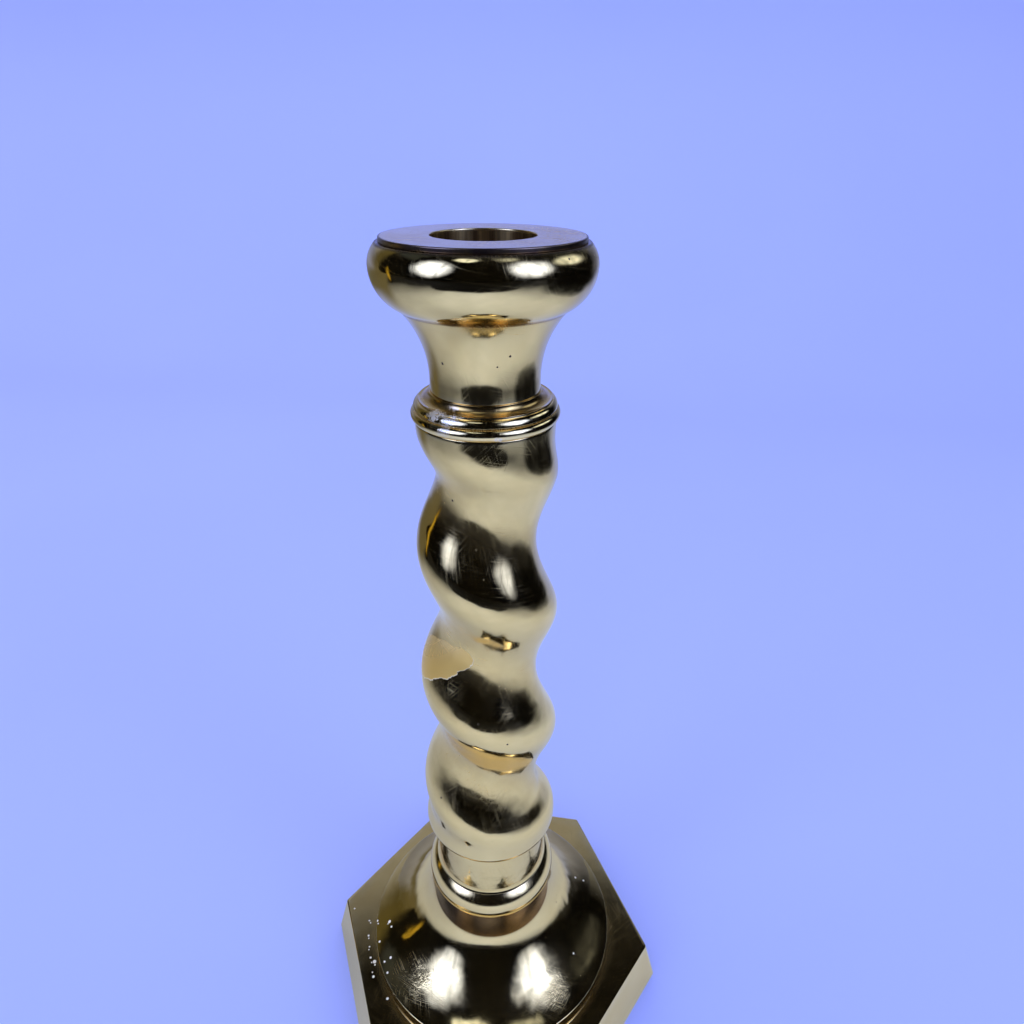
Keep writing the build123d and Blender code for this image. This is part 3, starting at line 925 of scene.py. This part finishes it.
def makeSteel():
    # zinc-plated, dulled, with brown staining
    s = steelLook
    material, w = blank("platedSteel")
    place = w.make("ShaderNodeTexCoord", None, None, "Object")
    spangle = noise(w, place, *s["spangle"])
    stain = noise(w, place, *s["stain"]).above(*s["stainRange"])
    stain = (stain * s["stainShare"] + field(w, "recess") * s["stainRecess"]).limit()
    colour = stain.tint(spangle.tint(s["zincPale"], s["zincDark"]), s["stainTone"])
    rough = s["rough"] + spangle * s["roughSpangle"] + stain * s["roughStain"]
    height = spangle * s["spangleHeight"] + stain * s["stainHeight"]
    closeMaterial(w, colour, 1 - stain * s["stainDull"], rough, height)
    return material


steel = makeSteel()
seat(makeRod(), "tie_rod", "candlestick", steel)
seat(makeNut(), "rod_nut", "candlestick", steel)
seat(makeWasher(), "rod_washer", "candlestick", steel)


# Stage: pale sweep, soft panels, a dark room on the camera's side.

stageLook = {
    "halfWidth": 3.0, "front": -3.0, "bendStart": 0.6, "bendRadius": 0.5, "bendSteps": 24, "wallTop": 0.62,
    "sweepSeen": (0.36, 0.43, 0.97), "paper": (3, 2), "paperShade": 0.94, "wallGlow": 0.16, "glowRise": 0.4,
    "dark": (0.002, 0.002, 0.002), "fill": 1.31,
    # what the brass mirrors of the floor and wall, with places in metres
    "nearMirrored": (0.67, 0.775, 1.0), "farMirrored": (0.34, 0.42, 0.78),
    "leftMirrored": (0.12, 0.115, 0.07), "highMirrored": (0.27, 0.31, 0.48),
    "lilacMirrored": (0.4, 0.48, 1.0),
    "brightSide": (0.7, -0.7, 0), "brightRange": (-1, 0.9), "shadeLevel": 0.7,
    "footLevel": 0.84, "footReach": (0.06, 0.22),
    "tableReach": (0.28, 0.9), "tableFade": 0.97, "blot": (6, 3), "patchShadeLeast": 0.8, "blotShare": 0.4,
    "frontEdge": -0.62, "frontNotch": 0.2, "notch": (-0.34, 0.42, 0.26), "frontSoft": 0.06,
    "leftFade": (0.08, 0.55), "leftShare": 0.45, "rightFade": (0.05, 0.45), "rightShare": 0.4,
    "backLeft": (0.1, 0.5), "backStart": (0, 0.2), "farStart": (0.1, 0.5), "farHalf": (0.25, 0.6),
    "wallStart": (0.02, 0.2), "lilacRise": (0.15, 0.3), "lilacAcross": (-0.5, 0.06, 0.14),
    "wallLeft": (1.0, 2.0), "wallRight": (0.25, 0.9),
    # and of the room past the panels: turn from the camera's side towards +X, rise, softness of each, colour
    "room": (
        (-170, -114, -60, 46, 9, 8, (0.09, 0.086, 0.046)),
        (-100, -74, 42, 52, 8, 8, (0.03, 0.04, 0.065)),
        (166, 200, -60, 52, 26, 6, (0.25, 0.3, 0.5)),
        (-200, -140, -60, 54, 22, 7, (0.28, 0.32, 0.48)),
    ),
    "roomBlot": (5, 3), "roomLeast": 0.5,
}


def makeSweep():
    # floor profile carried along X: flat, then a quarter turn up into the wall
    s = stageLook
    arc = np.linspace(0, np.pi / 2, s["bendSteps"])
    wallPlace = s["bendStart"] + s["bendRadius"]
    bend = np.column_stack([np.sin(arc), 1 - np.cos(arc)]) * s["bendRadius"] + [s["bendStart"], 0]
    line = np.concatenate([[(s["front"], 0)], bend, [(wallPlace, s["wallTop"])]])
    x = np.array([-s["halfWidth"], s["halfWidth"]])[None, :, None]
    rows = np.broadcast_to(line[:, None], (len(line), 2, 2))
    points = np.concatenate([np.broadcast_to(x, (len(line), 2, 1)), rows], -1).reshape(-1, 3)
    first = 2 * np.arange(len(line) - 1)
    faces = np.stack([first, first + 1, first + 3, first + 2], -1)
    mesh = bpy.data.meshes.new("paperSweep")
    mesh.from_pydata(points.tolist(), [], faces.tolist())
    mesh.polygons.foreach_set("use_smooth", np.ones(len(faces), bool))
    thing = bpy.data.objects.new("paperSweep", mesh)
    scene.collection.objects.link(thing)

    material, w = blank("paleSweep")
    place = w.make("ShaderNodeTexCoord", None, None, "Object")
    x = w.make("ShaderNodeSeparateXYZ", {}, {0: place})
    y, z, left = x.other(1), x.other(2), x * -1
    flat = w.make("ShaderNodeCombineXYZ", {}, {0: x, 1: y})
    reach = w.make("ShaderNodeVectorMath", {"operation": "LENGTH"}, {0: flat}, "Value")
    heading = w.make("ShaderNodeVectorMath", {"operation": "NORMALIZE"}, {0: flat})
    facing = w.make("ShaderNodeVectorMath", {"operation": "DOT_PRODUCT"}, {
        0: heading, 1: s["brightSide"]}, "Value").above(*s["brightRange"])

    # mirrored floor: brightest towards the right front, shaded by the foot, fading with distance and
    # to both sides, cut off where the table ends, and broken into uneven patches of painted shade
    level = s["shadeLevel"] + facing * (1 - s["shadeLevel"])
    level = level * (s["footLevel"] + reach.above(*s["footReach"]) * (1 - s["footLevel"]))
    level = level * (1 - reach.above(*s["tableReach"]) * s["tableFade"])
    edge = s["frontEdge"] + x.between(*s["notch"]) * s["frontNotch"]
    level = level * (y - edge).above(-s["frontSoft"], 0)
    level = level * (s["patchShadeLeast"] + noise(w, place, *s["blot"]) * s["blotShare"])
    level = level * (1 - left.above(*s["leftFade"]) * s["leftShare"])
    level = level * (1 - x.above(*s["rightFade"]) * s["rightShare"])
    mirrored = level.tint(s["dark"], s["nearMirrored"])
    mirrored = (left.above(*s["backLeft"]) * y.above(*s["backStart"])).tint(mirrored, s["leftMirrored"])
    far = y.above(*s["farStart"]) * (1 - x.size().above(*s["farHalf"]))
    mirrored = far.tint(mirrored, s["farMirrored"])

    # mirrored wall: lilac behind the top disc, dull on the left, dark on the right
    lilac = z.above(*s["lilacRise"]) * x.between(*s["lilacAcross"])
    wall = lilac.tint(s["highMirrored"], s["lilacMirrored"])
    wall = left.above(*s["wallLeft"]).tint(wall, s["leftMirrored"])
    wall = x.above(*s["wallRight"]).tint(wall, s["dark"])
    mirrored = z.above(*s["wallStart"]).tint(mirrored, wall)

    seen = w.make("ShaderNodeLightPath", None, None, "Is Camera Ray")
    shade = tuple(v * s["paperShade"] for v in s["sweepSeen"])
    shown = noise(w, place, *s["paper"]).tint(s["sweepSeen"], shade)
    shader = w.make("ShaderNodeBsdfPrincipled", {}, {
        "Base Color": seen.tint(mirrored, shown), "Roughness": 0.85, "Specular IOR Level": 0.1,
        "Emission Color": (seen * z.above(0, s["glowRise"])).tint((0, 0, 0), s["sweepSeen"]),
        "Emission Strength": s["wallGlow"]})
    w.make("ShaderNodeOutputMaterial", {}, {"Surface": shader})
    mesh.materials.append(material)


def makeWorld():
    s = stageLook
    world = bpy.data.worlds.new("studio")
    scene.world = world
    world.use_nodes = True
    world.node_tree.nodes.clear()
    w = Wire(world.node_tree)
    ray = w.make("ShaderNodeLightPath")
    look = w.make("ShaderNodeTexCoord", None, None, "Generated")
    axes = w.make("ShaderNodeSeparateXYZ", {}, {0: look})
    turn = w.sum("ARCTAN2", axes, axes.other(1) * -1) * np.degrees(1)
    rise = w.make("ShaderNodeMath", {"operation": "ARCSINE"}, {0: axes.other(2)}) * np.degrees(1)
    blot = s["roomLeast"] + noise(w, look, *s["roomBlot"])
    room = s["dark"]
    for left, right, low, high, turnSoft, riseSoft, tone in s["room"]:
        share = (turn.between(left, right, turnSoft) * rise.between(low, high, riseSoft) * blot).limit()
        room = share.tint(room, tone)
    colour = ray.other("Is Glossy Ray").tint((s["fill"],) * 3, room)
    colour = ray.other("Is Camera Ray").tint(colour, s["sweepSeen"])
    shader = w.make("ShaderNodeBackground", {}, {"Color": colour, "Strength": 1.0})
    w.make("ShaderNodeOutputWorld", {}, {"Surface": shader})


# Panels: azimuth from -Y towards +X, elevation above the table, tilt about its own axis, sizes in metres;
# bars are darker uprights at a share of the half width, core the share of the panel that is full.
daylight, lamplight, goldLight = (0.36, 0.47, 1.0), (0.56, 0.68, 1.0), (1, 0.76, 0.12)
panels = {
    "panelLeft": {
        "azimuth": -43, "elevation": 28, "distance": 2.0, "width": 1.6, "height": 2.1, "tilt": 0,
        "radiance": 8.0, "colour": daylight, "core": 0, "bars": (0.3,)},
    "panelRight": {
        "azimuth": 61, "elevation": 28.5, "distance": 2.0, "width": 2.0, "height": 2.3, "tilt": 0,
        "radiance": 8.0, "colour": daylight, "core": 0, "bars": (-0.3, 0.35)},
    "panelSide": {
        "azimuth": 112, "elevation": 30, "distance": 1.2, "width": 0.9, "height": 0.55, "tilt": -20,
        "radiance": 1.8, "colour": lamplight, "core": 0.3, "bars": (-0.4, 0.1)},
    "panelAbove": {
        "azimuth": -16, "elevation": 62, "distance": 1.4, "width": 0.5, "height": 0.34, "tilt": 0,
        "radiance": 1.9, "colour": lamplight, "core": 0.4, "bars": (0.1,)},
    "panelHigh": {
        "azimuth": 48, "elevation": 64, "distance": 1.4, "width": 0.5, "height": 0.34, "tilt": 0,
        "radiance": 0.9, "colour": lamplight, "core": 0.3, "bars": (-0.3, 0.3)},
    "goldCard": {
        "azimuth": -92, "elevation": 4, "distance": 0.75, "width": 0.07, "height": 0.4, "tilt": 14,
        "radiance": 0.45, "colour": goldLight, "core": 0.4, "bars": (0.0,)},
}
panelLook = {"aim": 0.15, "barHalf": (0.02, 0.14), "barLeast": 0.55, "least": 0.2, "peak": 1.8, "grain": 7}


def makePanel(name, s):
    # soft panel facing the stem; its light is uneven and falls off as (1 - x^2 - y^2)^2, 0 at the rim
    azimuth, elevation, tilt = np.radians([s["azimuth"], s["elevation"], s["tilt"]])
    level = np.cos(elevation)
    away = np.array([np.sin(azimuth) * level, -np.cos(azimuth) * level, np.sin(elevation)])
    side = np.array([np.cos(azimuth), np.sin(azimuth), 0])
    rise = np.cross(away, side)
    spin = np.column_stack([
        np.cos(tilt) * side + np.sin(tilt) * rise, np.cos(tilt) * rise - np.sin(tilt) * side, away])
    corner = np.array([(-1, -1, 0), (-1, 1, 0), (1, 1, 0), (1, -1, 0)]) * [s["width"] / 2, s["height"] / 2, 0]
    mesh = bpy.data.meshes.new(name)
    mesh.from_pydata(corner.tolist(), [], [(0, 1, 2, 3)])
    thing = bpy.data.objects.new(name, mesh)
    middle = away * s["distance"] + [0, 0, panelLook["aim"]]
    thing.matrix_world = Matrix.Translation(middle) @ Matrix(spin.tolist()).to_4x4()
    scene.collection.objects.link(thing)

    material, w = blank(name)
    place = w.make("ShaderNodeTexCoord", None, None, "Object")
    axes = w.make("ShaderNodeSeparateXYZ", {}, {0: place})
    x, y = axes * (2 / s["width"]), axes.other(1) * (2 / s["height"])
    glow = (1 - (x * x + y * y - s["core"]) * (1 / (1 - s["core"]))).limit()
    glow = glow * glow
    least, peak = panelLook["least"], panelLook["peak"]
    for bar in s["bars"]:
        clear = (x - bar).size().above(*panelLook["barHalf"])
        glow = glow * (clear * (1 - panelLook["barLeast"]) + panelLook["barLeast"])
    glow = glow * (least + noise(w, place, panelLook["grain"] / max(s["width"], 1), 4) * (peak - least))
    shader = w.make("ShaderNodeEmission", {}, {
        "Color": (glow * (1 / peak)).tint((0, 0, 0), s["colour"]), "Strength": s["radiance"] * peak})
    w.make("ShaderNodeOutputMaterial", {}, {"Surface": shader})
    mesh.materials.append(material)
    thing.visible_camera = False


flagSet = {
    "turn": 104, "distance": 0.29, "width": 0.44, "low": 0.04, "height": 0.3,
    "tone": (0.002, 0.002, 0.002, 1), "cover": 0.97, "rim": (0.0, 1.1), "blot": (6, 3), "blotShare": 0.8,
}


def makeFlag():
    # black card on the right, out of the picture, that keeps the lower brass dark on that side
    s = flagSet
    turn = np.radians(s["turn"])
    middle = np.array([np.sin(turn) * s["distance"], -np.cos(turn) * s["distance"], s["low"]])
    side = np.array([np.cos(turn), np.sin(turn), 0]) * s["width"] / 2
    rise = np.array([0, 0, s["height"]])
    corners = np.array([middle - side, middle + side, middle + side + rise, middle - side + rise])
    mesh = bpy.data.meshes.new("flag")
    mesh.from_pydata(corners.tolist(), [], [(0, 1, 2, 3)])
    mesh.uv_layers.new(name="card").data.foreach_set("uv", [0, 0, 1, 0, 1, 1, 0, 1])
    thing = bpy.data.objects.new("flag", mesh)
    scene.collection.objects.link(thing)

    # soft rim: clear where x^4 + y^4 reaches 1 from the card's middle
    material, w = blank("flag")
    place = w.make("ShaderNodeTexCoord", None, None, "UV")
    axes = w.make("ShaderNodeSeparateXYZ", {}, {0: place})
    x, y = axes * 2 - 1, axes.other(1) * 2 - 1
    blot = (noise(w, place, *s["blot"]) - 0.5) * s["blotShare"]
    cover = 1 - (x * x * (x * x) + y * y * (y * y) + blot).above(*s["rim"])
    shader = w.make("ShaderNodeBsdfPrincipled", {}, {
        "Base Color": s["tone"], "Roughness": 0.9, "Specular IOR Level": 0.0, "Alpha": cover * s["cover"]})
    w.make("ShaderNodeOutputMaterial", {}, {"Surface": shader})
    mesh.materials.append(material)
    thing.visible_camera = False
    thing.visible_diffuse = False
    thing.visible_shadow = False


makeSweep()
makeWorld()
for name, panel in panels.items():
    makePanel(name, panel)
makeFlag()
print("stage set")


# Camera at the photograph's viewing angle: place in millimetres, turns in degrees.

cameraSet = {
    "place": (27.87, -147.98, 270.89), "yaw": -8.29, "pitch": 28.48, "roll": 0.39,
    "focalPixels": 685.0, "framePixels": 1024, "sensor": 36, "nearest": 0.01, "farthest": 20,
}


def makeCamera():
    s = cameraSet
    yaw, pitch, roll = np.radians([s["yaw"], s["pitch"], s["roll"]])
    ahead = np.array([np.sin(yaw) * np.cos(pitch), np.cos(yaw) * np.cos(pitch), -np.sin(pitch)])
    right = np.array([np.cos(yaw), -np.sin(yaw), 0])
    up = np.cross(right, ahead)
    spin = np.column_stack([
        np.cos(roll) * right + np.sin(roll) * up, np.cos(roll) * up - np.sin(roll) * right, -ahead])
    lens = bpy.data.cameras.new("camera")
    lens.sensor_width = s["sensor"]
    lens.lens = s["focalPixels"] / s["framePixels"] * s["sensor"]
    lens.clip_start, lens.clip_end = s["nearest"], s["farthest"]
    camera = bpy.data.objects.new("camera", lens)
    place = np.array(s["place"]) * mm
    camera.matrix_world = Matrix.Translation(place) @ Matrix(spin.tolist()).to_4x4()
    scene.collection.objects.link(camera)
    scene.camera = camera


makeCamera()
print("camera set")
